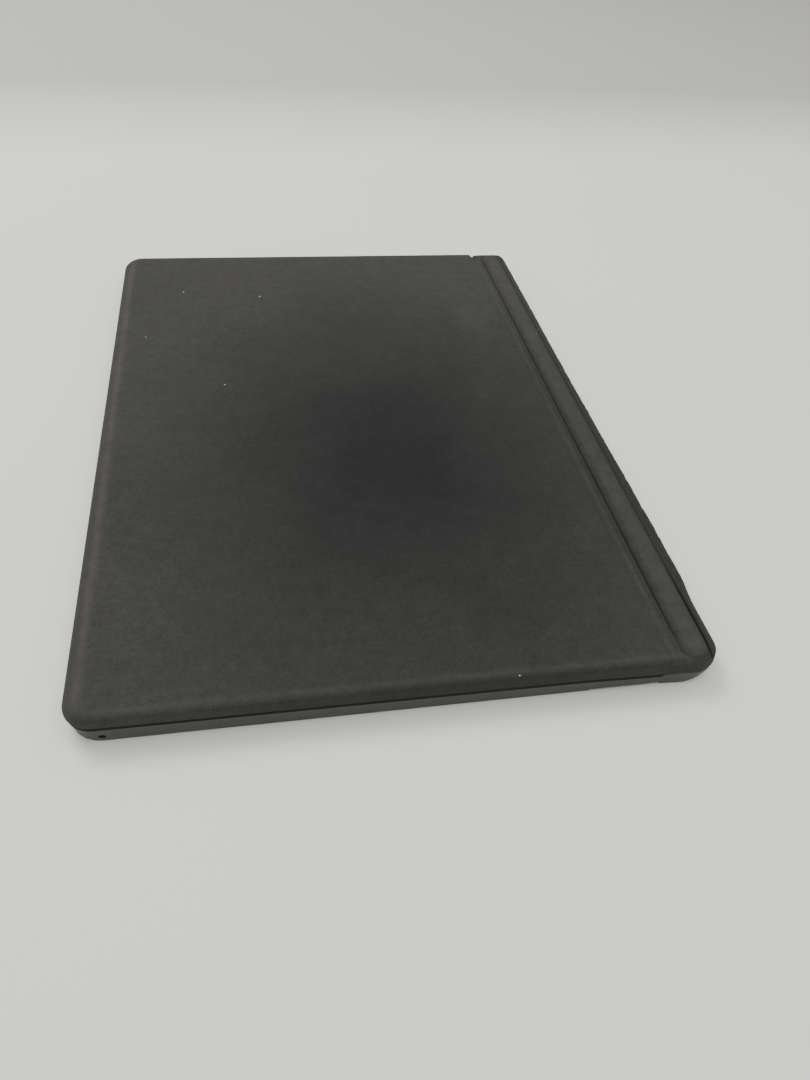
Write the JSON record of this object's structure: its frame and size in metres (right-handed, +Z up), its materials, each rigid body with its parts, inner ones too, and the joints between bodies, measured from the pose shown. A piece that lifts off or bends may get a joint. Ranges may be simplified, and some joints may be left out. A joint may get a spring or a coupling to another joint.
{
  "type": "tablet keyboard case",
  "caption": "Closed tablet case: hard tray with a kickstand and solid spine, and a suede-like cover holding a thin keyboard that folds out on soft hinges.",
  "frame": {"origin": "middle of the closed case's footprint, on the surface that it lies on", "axes": "+X from the free edge to the spine, +Y along the spine, +Z up through the closed case"},
  "size_m": [0.208, 0.292, 0.0125],
  "materials": {
    "shell_plastic": "smooth satin moulded polycarbonate, warm dark grey",
    "lining_felt": "short grey brushed lining",
    "steel": "bright rolled steel",
    "rubber": "matt black",
    "deck_plastic": "fine spark texture, charcoal",
    "contact_gold": "gold plated",
    "magnet": "nickel plated",
    "clamp_metal": "dark anodised",
    "microfibre": "charcoal suede-like microfibre with a short nap, worn paler along the edges",
    "polyester_film": "amber film",
    "fibre_sheet": "glass fibre laminate",
    "silicone": "dark grey silicone",
    "circuit_board": "green solder mask",
    "light_pipe": "milky",
    "trackpad_face": "satin, slightly smoother than the deck",
    "keycap_plastic": "fine matt, near black"
  },
  "bodies": {
    "case": {"back_shell": "shell_plastic", "tray_lining": "lining_felt", "kickstand_hinge_base_near": "steel", "kickstand_hinge_base_far": "steel", "hinge_screw_1": "steel", "hinge_screw_2": "steel", "hinge_screw_3": "steel", "hinge_screw_4": "steel", "spine_block": "shell_plastic", "connector_housing": "deck_plastic", "contact_pins": "contact_gold", "spine_magnet_near": "magnet", "spine_magnet_far": "magnet", "skin_clamp_bar": "clamp_metal", "edge_skin": "microfibre", "flex_tail_spine": "polyester_film"},
    "kickstand": {"kickstand_plate": "shell_plastic", "kickstand_foot_strip": "rubber", "kickstand_pin_near": "steel", "kickstand_pin_far": "steel"},
    "strip": {"strip_skin": "microfibre", "strip_stiffener": "fibre_sheet", "strip_magnet_near": "magnet", "strip_magnet_far": "magnet", "flex_tail_strip": "polyester_film"},
    "keyboard": {"outer_skin": "microfibre", "backing_plate": "fibre_sheet", "key_deck": "deck_plastic", "dome_sheet": "silicone", "key_circuit": "polyester_film", "controller_board": "circuit_board", "flex_tail_keyboard": "polyester_film", "lock_light": "light_pipe", "trackpad_board": "circuit_board", "trackpad_switch_dome": "steel"},
    "trackpad": {"trackpad_plate": "trackpad_face"},
    "keys_function_row_caps": {"keys_function_row": "keycap_plastic"},
    "keys_number_row_caps": {"keys_number_row": "keycap_plastic"},
    "keys_top_letter_row_caps": {"keys_top_letter_row": "keycap_plastic"},
    "keys_home_letter_row_caps": {"keys_home_letter_row": "keycap_plastic"},
    "keys_bottom_letter_row_caps": {"keys_bottom_letter_row": "keycap_plastic"},
    "key_backspace_cap": {"key_backspace": "keycap_plastic"},
    "key_tab_cap": {"key_tab": "keycap_plastic"},
    "key_caps_lock_cap": {"key_caps_lock": "keycap_plastic"},
    "key_enter_cap": {"key_enter": "keycap_plastic"},
    "key_left_shift_cap": {"key_left_shift": "keycap_plastic"},
    "key_right_shift_cap": {"key_right_shift": "keycap_plastic"},
    "key_left_control_cap": {"key_left_control": "keycap_plastic"},
    "key_fn_cap": {"key_fn": "keycap_plastic"},
    "key_menu_cap": {"key_menu": "keycap_plastic"},
    "key_left_alt_cap": {"key_left_alt": "keycap_plastic"},
    "key_space_cap": {"key_space": "keycap_plastic"},
    "key_right_alt_cap": {"key_right_alt": "keycap_plastic"},
    "key_right_control_cap": {"key_right_control": "keycap_plastic"},
    "key_arrow_left_cap": {"key_arrow_left": "keycap_plastic"},
    "key_arrow_right_cap": {"key_arrow_right": "keycap_plastic"},
    "key_arrow_up_cap": {"key_arrow_up": "keycap_plastic"},
    "key_arrow_down_cap": {"key_arrow_down": "keycap_plastic"}
  },
  "joints": [
    {"name": "crease_fold", "type": "hinge", "parent": "case", "child": "strip", "pos_m": [0.0985, 0, 0.0116], "axis": [0, 1, 0], "range_deg": [0, 70]},
    {"name": "groove_fold", "type": "hinge", "parent": "strip", "child": "keyboard", "pos_m": [0.088, 0, 0.0116], "axis": [0, 1, 0], "range_deg": [0, 115]},
    {"name": "kickstand_hinge", "type": "hinge", "parent": "case", "child": "kickstand", "pos_m": [-0.006, 0, 0.00095], "axis": [0, 1, 0], "range_deg": [0, 120]},
    {"name": "trackpad_click", "type": "hinge", "parent": "keyboard", "child": "trackpad", "pos_m": [-0.045, 0, 0.00925], "axis": [0, 1, 0], "range_deg": [0, 0.6], "stiffness_Nm_per_rad": 5},
    {"name": "press_function_row", "type": "slide", "parent": "keyboard", "child": "keys_function_row_caps", "axis": [0, 0, 1], "range_m": [0, 0.0008], "stiffness_N_per_m": 3000},
    {"name": "press_number_row", "type": "slide", "parent": "keyboard", "child": "keys_number_row_caps", "axis": [0, 0, 1], "range_m": [0, 0.0008], "stiffness_N_per_m": 3000},
    {"name": "press_top_letter_row", "type": "slide", "parent": "keyboard", "child": "keys_top_letter_row_caps", "axis": [0, 0, 1], "range_m": [0, 0.0008], "stiffness_N_per_m": 3000},
    {"name": "press_home_letter_row", "type": "slide", "parent": "keyboard", "child": "keys_home_letter_row_caps", "axis": [0, 0, 1], "range_m": [0, 0.0008], "stiffness_N_per_m": 3000},
    {"name": "press_bottom_letter_row", "type": "slide", "parent": "keyboard", "child": "keys_bottom_letter_row_caps", "axis": [0, 0, 1], "range_m": [0, 0.0008], "stiffness_N_per_m": 3000},
    {"name": "press_backspace", "type": "slide", "parent": "keyboard", "child": "key_backspace_cap", "axis": [0, 0, 1], "range_m": [0, 0.0008], "stiffness_N_per_m": 750},
    {"name": "press_tab", "type": "slide", "parent": "keyboard", "child": "key_tab_cap", "axis": [0, 0, 1], "range_m": [0, 0.0008], "stiffness_N_per_m": 750},
    {"name": "press_caps_lock", "type": "slide", "parent": "keyboard", "child": "key_caps_lock_cap", "axis": [0, 0, 1], "range_m": [0, 0.0008], "stiffness_N_per_m": 750},
    {"name": "press_enter", "type": "slide", "parent": "keyboard", "child": "key_enter_cap", "axis": [0, 0, 1], "range_m": [0, 0.0008], "stiffness_N_per_m": 750},
    {"name": "press_left_shift", "type": "slide", "parent": "keyboard", "child": "key_left_shift_cap", "axis": [0, 0, 1], "range_m": [0, 0.0008], "stiffness_N_per_m": 750},
    {"name": "press_right_shift", "type": "slide", "parent": "keyboard", "child": "key_right_shift_cap", "axis": [0, 0, 1], "range_m": [0, 0.0008], "stiffness_N_per_m": 750},
    {"name": "press_left_control", "type": "slide", "parent": "keyboard", "child": "key_left_control_cap", "axis": [0, 0, 1], "range_m": [0, 0.0008], "stiffness_N_per_m": 750},
    {"name": "press_fn", "type": "slide", "parent": "keyboard", "child": "key_fn_cap", "axis": [0, 0, 1], "range_m": [0, 0.0008], "stiffness_N_per_m": 750},
    {"name": "press_menu", "type": "slide", "parent": "keyboard", "child": "key_menu_cap", "axis": [0, 0, 1], "range_m": [0, 0.0008], "stiffness_N_per_m": 750},
    {"name": "press_left_alt", "type": "slide", "parent": "keyboard", "child": "key_left_alt_cap", "axis": [0, 0, 1], "range_m": [0, 0.0008], "stiffness_N_per_m": 750},
    {"name": "press_space", "type": "slide", "parent": "keyboard", "child": "key_space_cap", "axis": [0, 0, 1], "range_m": [0, 0.0008], "stiffness_N_per_m": 750},
    {"name": "press_right_alt", "type": "slide", "parent": "keyboard", "child": "key_right_alt_cap", "axis": [0, 0, 1], "range_m": [0, 0.0008], "stiffness_N_per_m": 750},
    {"name": "press_right_control", "type": "slide", "parent": "keyboard", "child": "key_right_control_cap", "axis": [0, 0, 1], "range_m": [0, 0.0008], "stiffness_N_per_m": 750},
    {"name": "press_arrow_left", "type": "slide", "parent": "keyboard", "child": "key_arrow_left_cap", "axis": [0, 0, 1], "range_m": [0, 0.0008], "stiffness_N_per_m": 750},
    {"name": "press_arrow_right", "type": "slide", "parent": "keyboard", "child": "key_arrow_right_cap", "axis": [0, 0, 1], "range_m": [0, 0.0008], "stiffness_N_per_m": 750},
    {"name": "press_arrow_up", "type": "slide", "parent": "keyboard", "child": "key_arrow_up_cap", "axis": [0, 0, 1], "range_m": [0, 0.0008], "stiffness_N_per_m": 750},
    {"name": "press_arrow_down", "type": "slide", "parent": "keyboard", "child": "key_arrow_down_cap", "axis": [0, 0, 1], "range_m": [0, 0.0008], "stiffness_N_per_m": 750}
  ]
}
